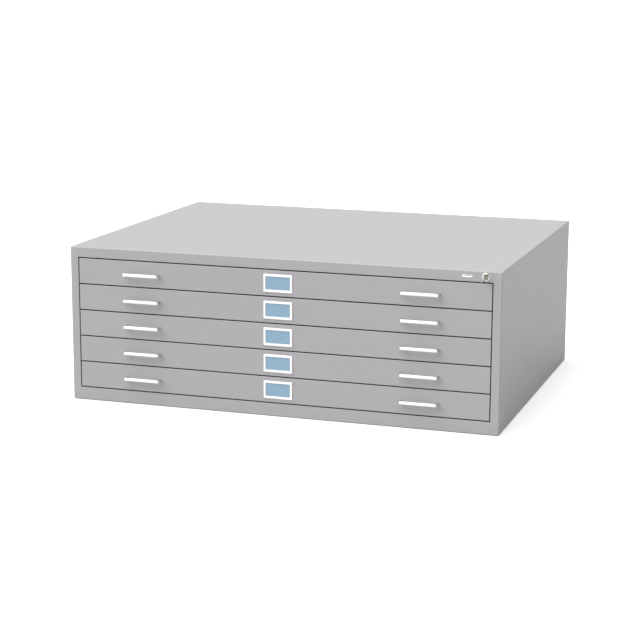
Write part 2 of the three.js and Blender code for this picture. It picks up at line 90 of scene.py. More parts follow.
class FlatFileSizes(bpy.types.PropertyGroup):
    """Sizes that the frame's boxes don't give."""

    case_sheet: length("Case sheet", "Thickness of the case's steel", 0.9)
    case_corner: length("Case corner", "Outer radius of the case's folded edges", 2.6)
    back_corner: length("Back corner", "Outer radius of the folds round the back panel", 3)
    weld: length("Weld", "Radius of a spot weld's mark", 3.2)
    weld_rise: length("Weld rise", "How far the rim of a weld's mark stands up", 0.3)
    weld_inset: length("Weld inset", "How far the welds stand from the case's rear edge", 8)
    weld_spacing: length("Weld spacing", "Greatest distance between two welds", 75)
    opening_corner: length("Opening corner", "Radius of the fold round the drawer opening", 1.2)
    hem: length("Hem", "How far the edge of the drawer opening turns in", 16)
    front_sheet: length("Front sheet", "Thickness of a drawer front's steel", 0.9)
    front_corner: length("Front corner", "Radius of a drawer front's folded edges", 1.3)
    tray_sheet: length("Tray sheet", "Thickness of a tray's steel", 0.8)
    tray_corner: length("Tray corner", "Outer radius of a tray's folded edges", 1.6)
    tray_width: length("Tray width", "Inside width of a tray", 43 * INCH / MM)
    hood_depth: length("Hood depth", "How far the hood reaches forward over the tray", 90)
    hood_drop: length("Hood drop", "How far the hood's front edge turns down", 6)
    hood_fold: length("Hood fold", "Radius of the fold along the hood's front edge", 1.5)
    runner_top: length("Runner height", "Underside of a runner above its drawer front's bottom edge", 37.2)
    runner_reach: length("Runner reach", "How far a runner stands out from the tray", 14.7)
    runner_setback: length("Runner setback", "How far a runner starts behind the tray's front", 14)
    guide_roller: length("Guide roller", "Radius of the fixed roller at the front of a channel", 10.8)
    guide_inset: length("Guide inset", "How far a fixed roller stands behind the front of its channel", 20)
    flap_sheet: length("Flap sheet", "Thickness of a depressor's steel", 0.8)
    flap_flange: length("Flap flange", "Height of the turned edges of a depressor", 7)
    flap_fold: length("Flap fold", "Radius of a depressor's folds", 1.6)
    flap_rod: length("Flap rod", "Radius of the rod that a depressor turns on", 2)
    pull_bar: length("Pull bar", "Thickness of a pull's flat bar", 4)
    pull_bend: length("Pull bend", "Inner radius of a pull's two bends", 3.2)
    pull_edge: length("Pull edge", "Radius along the edges of a pull's bar", 1.1)
    holder_sheet: length("Holder sheet", "Thickness of a card holder's metal", 0.8)
    holder_corner: length("Holder corner", "Radius of a card holder's outer edges", 1)
    holder_border: length("Holder border", "Width of a card holder's border", 6)
    holder_foot: length("Holder foot", "Width of a card holder's border at the bottom", 7)
    keyway_width: length("Keyway width", "Width of the slot in the plug", 2.1)
    keyway_height: length("Keyway height", "Height of the slot in the plug", 7.6)
    keyway_depth: length("Keyway depth", "Depth of the slot in the plug", 17)


class FlatFileColours(bpy.types.PropertyGroup):
    """Base colours of the finishes."""

    enamel: colour("Enamel", "Light grey baked enamel", (0.452, 0.436, 0.454))
    zinc: colour("Zinc", "Bright zinc plate", (0.56, 0.58, 0.6))
    chrome: colour("Chrome", "Polished chrome plate", (0.78, 0.78, 0.79))
    nickel: colour("Nickel", "Worn nickel plate", (0.42, 0.41, 0.37))
    steel: colour("Steel", "Turned steel", (0.48, 0.49, 0.5))
    card: colour("Card", "Blue-grey card", (0.3, 0.46, 0.6))


class FlatFileStage(bpy.types.PropertyGroup):
    """Camera and light."""

    position: FloatVectorProperty(
        name="Camera position", description="Where the camera stands",
        default=(1.5097, -4.6845, 1.2025), unit="LENGTH")
    heading: FloatProperty(
        name="Heading", description="Camera's turn from the +Y axis towards +X",
        default=math.radians(-18.232), subtype="ANGLE")
    tilt: FloatProperty(
        name="Tilt", description="How far the camera looks down",
        default=math.radians(11.859), subtype="ANGLE")
    roll: FloatProperty(
        name="Roll", description="Camera's roll", default=math.radians(0.228), subtype="ANGLE")
    lens: FloatProperty(
        name="Lens", description="Focal length in millimetres on a 36 mm sensor", default=99.78)
    sky: FloatProperty(
        name="Sky", description="Strength of the light from the white surroundings", default=0.53, min=0)
    backdrop: FloatProperty(
        name="Backdrop", description="Strength of the white surroundings as the camera sees them",
        default=1.05, min=0)
    overhead: FloatProperty(
        name="Overhead light", description="Strength of the soft light above", default=2.8, min=0)
    side: FloatProperty(
        name="Side light", description="Strength of the soft light at the left front", default=0.64, min=0)


# ------------------------------------------------------------------------------------------------ finishes


class Wire:
    """A node's output. Python's operators on it add Math nodes."""

    def __init__(self, finish, socket):
        self.finish = finish
        self.socket = socket

    def math(self, operation, first, second):
        return self.finish.add("ShaderNodeMath", {"operation": operation}, {0: first, 1: second})

    def __add__(self, other):
        return self.math("ADD", self, other)

    def __mul__(self, other):
        return self.math("MULTIPLY", self, other)

    def __rsub__(self, other):
        return self.math("SUBTRACT", other, self)

    __radd__ = __add__
    __rmul__ = __mul__


class Finish:
    """A material in the making: one Principled shader and the nodes that feed it."""

    def __init__(self, name, constants):
        self.material = bpy.data.materials.new(name)
        self.material.use_nodes = True
        self.tree = self.material.node_tree
        self.tree.nodes.clear()
        self.shader = self.tree.nodes.new("ShaderNodeBsdfPrincipled")
        output = self.tree.nodes.new("ShaderNodeOutputMaterial")
        self.tree.links.new(self.shader.outputs[0], output.inputs["Surface"])
        for socket, value in constants.items():
            self.shader.inputs[socket].default_value = value

    def add(self, kind, settings, inputs, output=0):
        """Adds a node: its settings first, then a value or a wire for each socket. Gives back one output."""
        node = self.tree.nodes.new(kind)
        for name, value in settings.items():
            setattr(node, name, value)
        for socket, value in inputs.items():
            if isinstance(value, Wire):
                self.tree.links.new(value.socket, node.inputs[socket])
            else:
                node.inputs[socket].default_value = value
        return Wire(self, node.outputs[output])

    def place(self):
        """The point on the piece, in metres from the cabinet's origin."""
        return self.add("ShaderNodeTexCoord", {}, {}, "Object")

    def stretched(self, place, stretch):
        return self.add("ShaderNodeMapping", {}, {"Vector": place, "Scale": stretch})

    def noise(self, place, per_metre, detail=2.0, rough=0.5):
        inputs = {"Vector": place, "Scale": per_metre, "Detail": detail, "Roughness": rough}
        return self.add("ShaderNodeTexNoise", {}, inputs)

    def ramp(self, wire, low, high):
        """0 below low, 1 above high and smooth between them."""
        settings = {"interpolation_type": "SMOOTHSTEP"}
        return self.add("ShaderNodeMapRange", settings, {"Value": wire, "From Min": low, "From Max": high})

    def blend(self, share, first, second):
        """A colour between two colours."""
        settings = {"data_type": "RGBA"}
        inputs = {0: share, 6: (*first, 1), 7: (*second, 1)}
        return self.add("ShaderNodeMix", settings, inputs, 2)

    def feed(self, socket, wire):
        self.tree.links.new(wire.socket, self.shader.inputs[socket])

    def relief(self, height, metres):
        """Raises the surface by up to that many metres where height is 1."""
        inputs = {"Height": height, "Strength": 1.0, "Distance": metres}
        self.feed("Normal", self.add("ShaderNodeBump", {}, inputs))


def shade(rgb, factor):
    return tuple(min(1.0, part * factor) for part in rgb)


def between(finish, value, low, high, soft):
    """1 where the value lies between low and high, and 0 outside."""
    return finish.ramp(value, low - soft, low) * (1 - finish.ramp(value, high, high + soft))


def enamel(colours):
    """Baked enamel: a fine orange peel, a slow drift in tone, faint handling marks in the gloss, and painted
    shade in the gaps round the drawer fronts: there the enamel is much darker and a little rougher, standing
    in for the shade that falls in the gaps."""
    paint = Finish("baked_enamel", {"IOR": 1.5, "Specular IOR Level": 0.32})
    place = paint.place()
    x, y, z = (paint.add("ShaderNodeSeparateXYZ", {}, {"Vector": place}, axis) for axis in "XYZ")
    drift = paint.noise(place, 1.6, 2.0)
    fleck = paint.noise(place, 900.0, 1.0)
    handled = paint.ramp(paint.noise(place, 38.0, 4.0, 0.55), 0.4, 0.8)
    peel = paint.noise(place, 420.0, 2.0, 0.55)

    left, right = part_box("side_panel_left")[1].x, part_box("side_panel_right")[0].x
    front, gap_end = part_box("drawer_1_front")[0].y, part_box("drawer_1_front")[1].y
    low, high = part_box(f"drawer_{DRAWERS[-1]}_front")[0].z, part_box("drawer_1_front")[1].z
    reach, fade, crisp = 4 * MM, 1.8 * MM, 0.1 * MM
    # painted shade: a mask over the surfaces more than 3 mm back inside the drawer opening, where the gaps
    # round the drawer fronts lie in shade
    depth = between(paint, y, front + 3 * MM, gap_end + 0.3 * MM, fade)
    width = between(paint, x, left - reach, right + reach, crisp)
    height = between(paint, z, low - reach, high + reach, crisp)
    painted_gap_shade_mask = depth * width * height
    tone = paint.blend(
        0.7 * drift + 0.3 * fleck, shade(colours.enamel, 0.975), shade(colours.enamel, 1.025))
    # painted shade: the enamel at 0.4 of its tone, put into the gaps in place of the shade there
    painted_gap_shade_colour = shade(colours.enamel, 0.4)
    mixed = paint.add("ShaderNodeMix", {"data_type": "RGBA"}, {0: painted_gap_shade_mask, 6: tone, 7: (*painted_gap_shade_colour, 1)}, 2)
    paint.feed("Base Color", mixed)
    paint.feed("Roughness", 0.4 + 0.05 * handled + 0.03 * drift + 0.2 * painted_gap_shade_mask)
    paint.relief(peel + 0.25 * fleck, 0.05 * MM)
    return paint.material


def zinc_plate(colours):
    """Bright zinc: crystals that differ a little in tone and gloss, and fine rolling lines."""
    plate = Finish("zinc_plate", {"Metallic": 1.0})
    place = plate.place()
    cells = {"Vector": place, "Scale": 160.0, "Randomness": 1.0}
    crystals = plate.add("ShaderNodeTexVoronoi", {"feature": "F1"}, cells, "Color")
    crystal = plate.add("ShaderNodeSeparateColor", {}, {"Color": crystals})
    rolled = plate.noise(plate.stretched(place, (700, 14, 700)), 1.0, 3.0)
    dull = plate.noise(place, 18.0, 4.0, 0.6)
    plate.feed("Base Color", plate.blend(
        0.5 * crystal + 0.5 * dull, shade(colours.zinc, 0.86), shade(colours.zinc, 1.1)))
    plate.feed("Roughness", 0.26 + 0.12 * crystal + 0.14 * dull)
    plate.relief(rolled, 0.02 * MM)
    return plate.material


def chrome_plate(colours):
    """Polished chrome, with polishing haze and a few hairline marks."""
    plate = Finish("chrome_plate", {"Metallic": 1.0})
    place = plate.place()
    haze = plate.noise(place, 60.0, 4.0, 0.6)
    hairlines = plate.ramp(plate.noise(plate.stretched(place, (90, 2500, 2500)), 1.0, 2.0), 0.62, 0.74)
    plate.feed("Base Color", plate.blend(haze, shade(colours.chrome, 0.97), shade(colours.chrome, 1.03)))
    plate.feed("Roughness", 0.07 + 0.07 * haze + 0.08 * hairlines)
    plate.relief(haze, 0.012 * MM)
    return plate.material


def nickel_plate(colours):
    """Nickel worn by fingers: warmer and duller in patches, with short scratches."""
    plate = Finish("nickel_plate", {"Metallic": 1.0})
    place = plate.place()
    worn = plate.ramp(plate.noise(place, 140.0, 4.0, 0.6), 0.4, 0.7)
    scratches = plate.ramp(plate.noise(plate.stretched(place, (4000, 500, 900)), 1.0, 2.0), 0.6, 0.72)
    plate.feed("Base Color", plate.blend(worn, shade(colours.nickel, 1.08), shade(colours.nickel, 0.84)))
    plate.feed("Roughness", 0.16 + 0.16 * worn + 0.1 * scratches)
    plate.relief(1 - 0.5 * scratches, 0.01 * MM)
    return plate.material


def turned_steel(colours):
    """Turned and lightly oiled steel."""
    metal = Finish("turned_steel", {"Metallic": 1.0})
    place = metal.place()
    turned = metal.noise(metal.stretched(place, (2600, 40, 40)), 1.0, 2.0)
    oil = metal.noise(place, 90.0, 4.0, 0.6)
    metal.feed("Base Color", metal.blend(oil, shade(colours.steel, 0.8), shade(colours.steel, 1.12)))
    metal.feed("Roughness", 0.24 + 0.2 * oil)
    metal.relief(turned, 0.02 * MM)
    return metal.material


def card_stock(colours):
    """Coloured card: pressed fibres, a little mottled."""
    card = Finish("card_stock", {"IOR": 1.45})
    place = card.place()
    fibres = card.noise(card.stretched(place, (1400, 1400, 2600)), 1.0, 4.0, 0.65)
    mottle = card.noise(place, 70.0, 3.0)
    card.feed("Base Color", card.blend(
        0.5 * fibres + 0.5 * mottle, shade(colours.card, 0.92), shade(colours.card, 1.07)))
    card.feed("Roughness", 0.62 + 0.16 * fibres)
    card.relief(fibres, 0.04 * MM)
    return card.material


FINISHES = {
    "painted_steel": enamel,
    "plated_steel": zinc_plate,
    "chrome": chrome_plate,
    "key_nickel": nickel_plate,
    "roller_steel": turned_steel,
    "card": card_stock,
}
made = {}


def finish_for(slot):
    """The material of one of the record's slots, made the first time it is asked for."""
    if slot not in made:
        made[slot] = FINISHES[slot](bpy.context.scene.flat_file_colours)
    return made[slot]


# ------------------------------------------------------------------------------------------------ mesh work


def lies_on(item, axis, value):
    """Whether an edge or face lies in the plane where that axis has that value."""
    return all(abs(vert.co[axis] - value) < TINY for vert in item.verts)


def verts_of(items):
    return [item for item in items if isinstance(item, bmesh.types.BMVert)]


def faces_of(items):
    return [item for item in items if isinstance(item, bmesh.types.BMFace)]


def block(low, high):
    """A block between two corners."""
    bm = bmesh.new()
    bmesh.ops.create_cube(bm, size=1)
    low, high = Vector(low), Vector(high)
    bmesh.ops.scale(bm, vec=high - low, verts=bm.verts)
    bmesh.ops.translate(bm, vec=(low + high) / 2, verts=bm.verts)
    return bm


def round_edges(bm, edges, radius, segments=3):
    bmesh.ops.bevel(bm, geom=list(edges), offset=radius, offset_type="OFFSET", segments=segments,
                    profile=0.5, affect="EDGES", material=-1)


def soft_block(low, high, radius, segments=2):
    """A block with all its edges rounded."""
    bm = block(low, high)
    round_edges(bm, bm.edges[:], radius, segments)
    return bm


def open_pan(low, high, radius, axis, open_at, segments=3):
    """The outer skin of a pan: a block without its face at open_at, and with its other edges rounded."""
    bm = block(low, high)
    open_faces = [face for face in bm.faces if lies_on(face, axis, open_at)]
    bmesh.ops.delete(bm, geom=open_faces, context="FACES_ONLY")
    folded = [edge for edge in bm.edges if not edge.is_boundary]
    round_edges(bm, folded, radius, segments)
    return bm


def window(bm, front, ranges):
    """Scores a rectangle in the plane y = front, from a (low, high) pair for each axis, and gives back the
    faces inside it."""
    for axis, places in ranges.items():
        for place in places:
            faces = [face for face in bm.faces if lies_on(face, 1, front)]
            geometry = dict.fromkeys(item for face in faces for item in (face, *face.edges, *face.verts))
            point, normal = Vector(), Vector()
            point[axis], normal[axis] = place, 1
            bmesh.ops.bisect_plane(bm, geom=list(geometry), plane_co=point, plane_no=normal)
    return [
        face for face in bm.faces if lies_on(face, 1, front)
        and all(low < face.calc_center_median()[axis] < high for axis, (low, high) in ranges.items())
    ]


def strip_along_x(points, x_low, x_high, radius, segments=3):
    """A sheet folded along a line of (y, z) points, as wide as x_low to x_high."""
    bm = bmesh.new()
    verts = [bm.verts.new((x_low, y, z)) for y, z in points]
    edges = [bm.edges.new(pair) for pair in zip(verts, verts[1:])]
    drawn = bmesh.ops.extrude_edge_only(bm, edges=edges)["geom"]
    bmesh.ops.translate(bm, vec=(x_high - x_low, 0, 0), verts=verts_of(drawn))
    bmesh.ops.recalc_face_normals(bm, faces=bm.faces)
    folds = [edge for edge in bm.edges if len(edge.link_faces) == 2]
    round_edges(bm, folds, radius, segments)
    return bm


def turned(profile, centre, axis, steps=40):
    """A closed outline of (along, radius) points, spun round the axis X or Y through centre."""
    bm = bmesh.new()
    along = Vector((1, 0, 0)) if axis == "X" else Vector((0, 1, 0))
    out = Vector((0, 0, 1))
    verts = [bm.verts.new(Vector(centre) + along * step + out * radius) for step, radius in profile]
    edges = [bm.edges.new(pair) for pair in zip(verts, verts[1:] + verts[:1])]
    bmesh.ops.spin(bm, geom=verts + edges, cent=centre, axis=along, angle=2 * math.pi, steps=steps,
                   use_merge=True)
    bmesh.ops.remove_doubles(bm, verts=bm.verts, dist=TINY)
    bmesh.ops.recalc_face_normals(bm, faces=bm.faces)
    return bm


def softened(node, radius, segments=2):
    """A CAD node's shape with its corners broken: its triangles merged to flat faces, and its sharp edges
    rounded."""
    bm = bmesh.new()
    bm.from_mesh(frame["nodes"][node].data)
    bmesh.ops.remove_doubles(bm, verts=bm.verts, dist=TINY / 2)
    bmesh.ops.dissolve_limit(bm, angle_limit=math.radians(0.5), verts=bm.verts, edges=bm.edges)
    sharp = [edge for edge in bm.edges if edge.is_manifold and edge.calc_face_angle(0) > math.radians(40)]
    round_edges(bm, sharp, radius, segments)
    return bm


def joined(*parts):
    """One bmesh of several."""
    whole = bmesh.new()
    for part in parts:
        mesh = bpy.data.meshes.new("part")
        part.to_mesh(mesh)
        part.free()
        whole.from_mesh(mesh)
        bpy.data.meshes.remove(mesh)
    return whole


def piece(name, bm, body, slot, replaces=(), sheet=0.0, edge=0.0, smooth=50):
    """Makes an object of a bmesh. sheet is the thickness it gets on its inner side, and edge the width of the
    soft line along its remaining sharp edges."""
    mesh = bpy.data.meshes.new(name)
    for face in bm.faces:
        face.smooth = True
    bm.to_mesh(mesh)
    bm.free()
    mesh.set_sharp_from_angle(angle=math.radians(smooth))
    mesh.materials.append(finish_for(slot))
    made_piece = bpy.data.objects.new(name, mesh)
    bpy.context.scene.collection.objects.link(made_piece)
    if sheet:
        wall = made_piece.modifiers.new("Sheet", "SOLIDIFY")
        wall.thickness = sheet
        wall.offset = -1
        wall.use_even_offset = True
    if edge:
        line = made_piece.modifiers.new("Broken edges", "BEVEL")
        line.width = edge
        line.segments = 2
        line.limit_method = "ANGLE"
        line.angle_limit = math.radians(50)
    normals = made_piece.modifiers.new("Even shading", "WEIGHTED_NORMAL")
    normals.keep_sharp = True
    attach(made_piece, body)
    if replaces:
        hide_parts(*replaces)
    return made_piece


def centre_of(node):
    low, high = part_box(node)
    return (low + high) / 2


# ------------------------------------------------------------------------------------------------ operators


class FLATFILE_OT_case(bpy.types.Operator):
    """Makes the welded case: its skin with the drawer opening, back panel, weld marks and blank plate"""

    bl_idname = "flat_file.case"
    bl_label = "Case"

    def execute(self, context):
        sizes = context.scene.flat_file_sizes
        self.skin(sizes)
        self.back(sizes)
        for side, sign in SIDES.items():
            self.welds(sizes, side, sign)
        self.plate()
        return {"FINISHED"}

    def skin(self, sizes):
        """Top, sides, front frame and bottom, folded and welded, and enamelled as one."""
        left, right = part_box("side_panel_left"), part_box("side_panel_right")
        bottom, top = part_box("bottom_panel"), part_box("top_panel")
        low = Vector((left[0].x, bottom[0].y, bottom[0].z))
        high = Vector((right[1].x, bottom[1].y, top[1].z))
        opening = {0: (left[1].x, right[0].x), 2: (bottom[1].z, top[0].z)}
        bm = block(low, high)
        rear = [face for face in bm.faces if lies_on(face, 1, high.y)]
        bmesh.ops.delete(bm, geom=rear, context="FACES_ONLY")
        round_edges(bm, [edge for edge in bm.edges if not edge.is_boundary], sizes.case_corner, 4)
        bmesh.ops.delete(bm, geom=window(bm, low.y, opening), context="FACES_ONLY")
        rim = [edge for edge in bm.edges if edge.is_boundary and lies_on(edge, 1, low.y)]
        drawn = bmesh.ops.extrude_edge_only(bm, edges=rim)["geom"]
        bmesh.ops.translate(bm, vec=(0, sizes.hem, 0), verts=verts_of(drawn))
        folds = [edge for edge in bm.edges if lies_on(edge, 1, low.y) and self.turns_in(edge)]
        round_edges(bm, folds, sizes.opening_corner, 2)
        piece("case_skin", bm, "case", "painted_steel", sheet=sizes.case_sheet, edge=BROKEN_EDGE,
              replaces=("top_panel", "bottom_panel", "side_panel_left", "side_panel_right"))

    @staticmethod
    def turns_in(edge):
        """Whether an edge joins the front to a hem."""
        return len(edge.link_faces) == 2 and edge.calc_face_angle(0) > math.radians(60)

    def back(self, sizes):
        """The back panel, whose flanges reach forward inside the case."""
        low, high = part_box("back_panel")
        bm = open_pan(low, high, sizes.back_corner, 1, low.y)
        piece("case_back", bm, "case", "painted_steel", sheet=sizes.case_sheet, edge=BROKEN_EDGE,
              replaces=("back_panel",))

    def welds(self, sizes, side, sign):
        """The marks of the spot welds that hold the back's flange to a side panel: low, dished rings."""
        low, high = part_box(f"side_panel_{side}")
        outside = high.x if sign > 0 else low.x
        count = math.ceil((high.z - low.z) / sizes.weld_spacing)
        rise, foot = sizes.weld_rise * sign, -0.3 * MM * sign
        outline = [(foot, TINY), (foot, sizes.weld), (0, sizes.weld), (rise, 0.84 * sizes.weld),
                   (rise, 0.72 * sizes.weld), (rise / 4, 0.5 * sizes.weld), (rise / 4, TINY)]
        marks = []
        for step in range(count):
            height = low.z + (step + 0.5) * (high.z - low.z) / count
            marks.append(turned(outline, (outside, high.y - sizes.weld_inset, height), "X", 24))
        piece(f"flange_welds_{side}", joined(*marks), "case", "painted_steel")

    def plate(self):
        """The small oval plate beside the lock, left blank: a rim, a groove and a crown, turned one unit wide
        and then drawn out to the plate's size."""
        low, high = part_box("blank_badge")
        middle, size = (low + high) / 2, high - low
        rim, groove, crown = 0.5, 0.43, 0.4
        outline = [(0, TINY), (0, rim), (-0.55, rim), (-0.85, rim - 0.03), (-0.85, groove + 0.01),
                   (-0.5, groove), (-0.5, crown), (-0.7, crown - 0.06), (-0.9, 0.22), (-1, TINY)]
        bm = turned(outline, (0, 0, 0), "Y", 48)
        bmesh.ops.scale(bm, vec=size, verts=bm.verts)
        bmesh.ops.translate(bm, vec=(middle.x, high.y, middle.z), verts=bm.verts)
        piece("blank_plate", bm, "case", "chrome", replaces=("blank_badge",))


class FLATFILE_OT_tracks(bpy.types.Operator):
    """Makes the welded track racks and the fixed roller at the front of each channel"""

    bl_idname = "flat_file.tracks"
    bl_label = "Tracks"

    def execute(self, context):
        sizes = context.scene.flat_file_sizes
        for side, sign in SIDES.items():
            rack = f"track_rack_{side}"
            piece(f"rack_{side}", softened(rack, 0.25 * MM, 1), "case", "plated_steel", replaces=(rack,))
            for number in DRAWERS:
                self.guide(sizes, number, side, sign)
        return {"FINISHED"}

    def guide(self, sizes, number, side, sign):
        """A roller that turns on a pin riveted to the channel; the tray's runner rests on it."""
        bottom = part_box(f"drawer_{number}_front")[0].z
        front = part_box(f"track_rack_{side}")[0].y
        running = centre_of(f"drawer_{number}_roller_{side}").x
        radius = sizes.guide_roller
        play = 0.2 * MM
        centre = Vector((running, front + sizes.guide_inset, bottom + sizes.runner_top - radius - play))
        half, chamfer = 4 * MM, 1.2 * MM
        wheel = [(-half, ROLLER_BORE), (-half, radius - chamfer), (chamfer - half, radius),
                 (half - chamfer, radius), (half, radius - chamfer), (half, ROLLER_BORE)]
        piece(f"guide_roller_{number}_{side}", turned(wheel, centre, "X", 32), "case", "roller_steel")
        head, neck, tail = -5.6 * MM * sign, -4.4 * MM * sign, 14 * MM * sign
        pin = [(head, CORE), (head, 4.6 * MM), (neck, 5.2 * MM), (neck, AXLE), (tail, AXLE), (tail, CORE)]
        piece(f"guide_pin_{number}_{side}", turned(pin, centre, "X", 24), "case", "plated_steel")


class FLATFILE_OT_fronts(bpy.types.Operator):
    """Makes the drawer fronts: shallow enamelled pans with rounded folds"""

    bl_idname = "flat_file.fronts"
    bl_label = "Drawer fronts"

    def execute(self, context):
        sizes = context.scene.flat_file_sizes
        for number in DRAWERS:
            node = f"drawer_{number}_front"
            low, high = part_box(node)
            bm = open_pan(low, high, sizes.front_corner, 1, high.y)
            piece(f"front_{number}", bm, f"drawer_{number}", "painted_steel", sheet=sizes.front_sheet,
                  edge=BROKEN_EDGE, replaces=(node,))
        return {"FINISHED"}


class FLATFILE_OT_trays(bpy.types.Operator):
    """Makes the trays: pan, rear hood, side runners, roller stubs and lock strike"""

    bl_idname = "flat_file.trays"
    bl_label = "Trays"

    def execute(self, context):
        sizes = context.scene.flat_file_sizes
        for number in DRAWERS:
            self.tray(sizes, number)
        return {"FINISHED"}

    def tray(self, sizes, number):
        body = f"drawer_{number}"
        low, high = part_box(f"drawer_{number}_tray")
        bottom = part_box(f"drawer_{number}_front")[0].z
        half = sizes.tray_width / 2 + sizes.tray_sheet
        pan = open_pan((-half, low.y, low.z), (half, high.y, high.z), sizes.tray_corner, 2, high.z)
        piece(f"tray_{number}", pan, body, "painted_steel", sheet=sizes.tray_sheet, edge=FINE_EDGE,
              replaces=(f"drawer_{number}_tray",))
        inside, lean = 1 * MM, 3 * MM
        edge_y = high.y - sizes.hood_depth
        fold = [(high.y - inside, high.z - inside), (edge_y, high.z - inside),
                (edge_y - lean, high.z - sizes.hood_drop)]
        hood = strip_along_x(fold, -half + inside, half - inside, sizes.hood_fold)
        piece(f"hood_{number}", hood, body, "painted_steel", sheet=sizes.tray_sheet, edge=FINE_EDGE)
        roller = centre_of(f"drawer_{number}_roller_right")
        height = bottom + sizes.runner_top
        thickness, clear_of_roller = 1.2 * MM, 18 * MM
        for side, sign in SIDES.items():
            near, far = sorted((sign * (half - SET_IN), sign * (half + sizes.runner_reach)))
            rail = soft_block((near, low.y + sizes.runner_setback, height),
                              (far, roller.y - clear_of_roller, height + thickness), 0.3 * MM)
            piece(f"runner_{number}_{side}", rail, body, "painted_steel")
            self.stub(number, side, sign, half)
        strike_low, strike_size = 46 * MM, Vector((13, 3, 10)) * MM
        corner = Vector((half, low.y + 7 * MM, bottom + strike_low))
        strike = soft_block(corner - Vector((SET_IN, 0, 0)), corner + strike_size, 0.5 * MM)
        piece(f"strike_{number}", strike, body, "plated_steel")

    def stub(self, number, side, sign, half):
        """The riveted stub that carries a roller, from the tray's wall to its head."""
        centre = centre_of(f"drawer_{number}_roller_{side}")
        wall = sign * (half - SET_IN) - centre.x
        neck, head, collar = 4.3 * MM * sign, 6 * MM * sign, 5 * MM
        outline = [(wall, CORE), (wall, collar), (-neck, collar), (-neck, AXLE), (neck, AXLE),
                   (neck, collar), (head, 4.2 * MM), (head, CORE)]
        stub = turned(outline, centre, "X", 24)
        piece(f"stub_{number}_{side}", stub, f"drawer_{number}", "plated_steel")


class FLATFILE_OT_depressors(bpy.types.Operator):
    """Makes the hinged flap at the front of each tray that presses the sheets down"""

    bl_idname = "flat_file.depressors"
    bl_label = "Depressors"

    def execute(self, context):
        sizes = context.scene.flat_file_sizes
        hinges = {joint["child"]: joint for joint in frame["joints"]}
        for number in DRAWERS:
            body = f"depressor_{number}"
            pivot = Vector(hinges[body]["pos_m"])
            low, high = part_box(f"drawer_{number}_depressor")
            side_play, lean = 3 * MM, 1 * MM
            half = sizes.tray_width / 2 - side_play
            rear = Vector((0, high.y - sizes.flap_sheet, low.z + sizes.flap_sheet))
            fold = [(rear.y, rear.z + sizes.flap_flange), (rear.y, rear.z), (pivot.y, pivot.z),
                    (pivot.y - lean, pivot.z - sizes.flap_flange)]
            flap = strip_along_x(fold, -half, half, sizes.flap_fold)
            piece(f"flap_{number}", flap, body, "painted_steel", sheet=sizes.flap_sheet, edge=FINE_EDGE,
                  replaces=(f"drawer_{number}_depressor",))
            end, radius, chamfer = high.x, sizes.flap_rod, 0.4 * MM
            outline = [(-end, CORE), (-end, radius - chamfer), (-end + chamfer, radius),
                       (end - chamfer, radius), (end, radius - chamfer), (end, CORE)]
            rod = turned(outline, (0, pivot.y, pivot.z), "X", 20)
            piece(f"flap_rod_{number}", rod, body, "plated_steel")
        return {"FINISHED"}


class FLATFILE_OT_rollers(bpy.types.Operator):
    """Makes the rollers at the rear of each drawer"""

    bl_idname = "flat_file.rollers"
    bl_label = "Rollers"

    def execute(self, context):
        for number in DRAWERS:
            for side in SIDES:
                node = f"drawer_{number}_roller_{side}"
                low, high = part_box(node)
                half, radius = (high.x - low.x) / 2, (high.z - low.z) / 2
                sunk, chamfer = 0.8 * MM, 1 * MM
                outline = [(-half, ROLLER_BORE), (-half, 5.5 * MM), (sunk - half, 6.2 * MM),
                           (sunk - half, 9.6 * MM), (-half, 10.2 * MM), (-half, radius - chamfer),
                           (chamfer - half, radius)]
                mirror = [(-along, out) for along, out in reversed(outline)]
                wheel = turned(outline + mirror, centre_of(node), "X")
                name = f"roller_{number}_{side}"
                piece(name, wheel, name, "roller_steel", replaces=(node,))
        return {"FINISHED"}


class FLATFILE_OT_pulls(bpy.types.Operator):
    """Makes the chrome pulls, bent from flat bar"""

    bl_idname = "flat_file.pulls"
    bl_label = "Pulls"

    def execute(self, context):
        sizes = context.scene.flat_file_sizes
        for number in DRAWERS:
            for side in SIDES:
                node = f"drawer_{number}_handle_{side}"
                bm = self.bent_bar(*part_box(node), sizes)
                piece(f"pull_{number}_{side}", bm, f"drawer_{number}", "chrome", replaces=(node,))
        return {"FINISHED"}

    @staticmethod
    def bent_bar(low, high, sizes):
        """A bar that rises from the front, turns, runs across and turns back: one half and its mirror."""
        bar, bend = sizes.pull_bar, sizes.pull_bend
        middle = (low.x + high.x) / 2
        bm = bmesh.new()
        corners = [(low.x, low.z), (low.x + bar, low.z), (low.x + bar, high.z), (low.x, high.z)]
        section = bm.faces.new([bm.verts.new((x, high.y, z)) for x, z in corners])
        turn_y = low.y + bar + bend
        drawn = bmesh.ops.extrude_face_region(bm, geom=[section])["geom"]
        bmesh.ops.translate(bm, vec=(0, turn_y - high.y, 0), verts=verts_of(drawn))
        cap = faces_of(drawn)
        spun = bmesh.ops.spin(bm, geom=cap, cent=(low.x + bar + bend, turn_y, low.z), axis=(0, 0, 1),
                              angle=math.pi / 2, steps=7, use_merge=False)["geom_last"]
        last = faces_of(spun)
        drawn = bmesh.ops.extrude_face_region(bm, geom=last)["geom"]
        for vert in verts_of(drawn):
            vert.co.x = middle
        inner = [face for face in bm.faces if lies_on(face, 0, middle)]
        bmesh.ops.delete(bm, geom=inner + cap + last, context="FACES_ONLY")
        bmesh.ops.mirror(bm, geom=bm.verts[:] + bm.edges[:] + bm.faces[:],
                         matrix=Matrix.Translation((-middle, 0, 0)), merge_dist=TINY, axis="X")
        bmesh.ops.remove_doubles(bm, verts=bm.verts, dist=TINY)
        bmesh.ops.recalc_face_normals(bm, faces=bm.faces)
        sharp = math.radians(40)
        long_edges = [edge for edge in bm.edges if edge.is_manifold and edge.calc_face_angle(0) > sharp]
        round_edges(bm, long_edges, sizes.pull_edge, 3)
        return bm


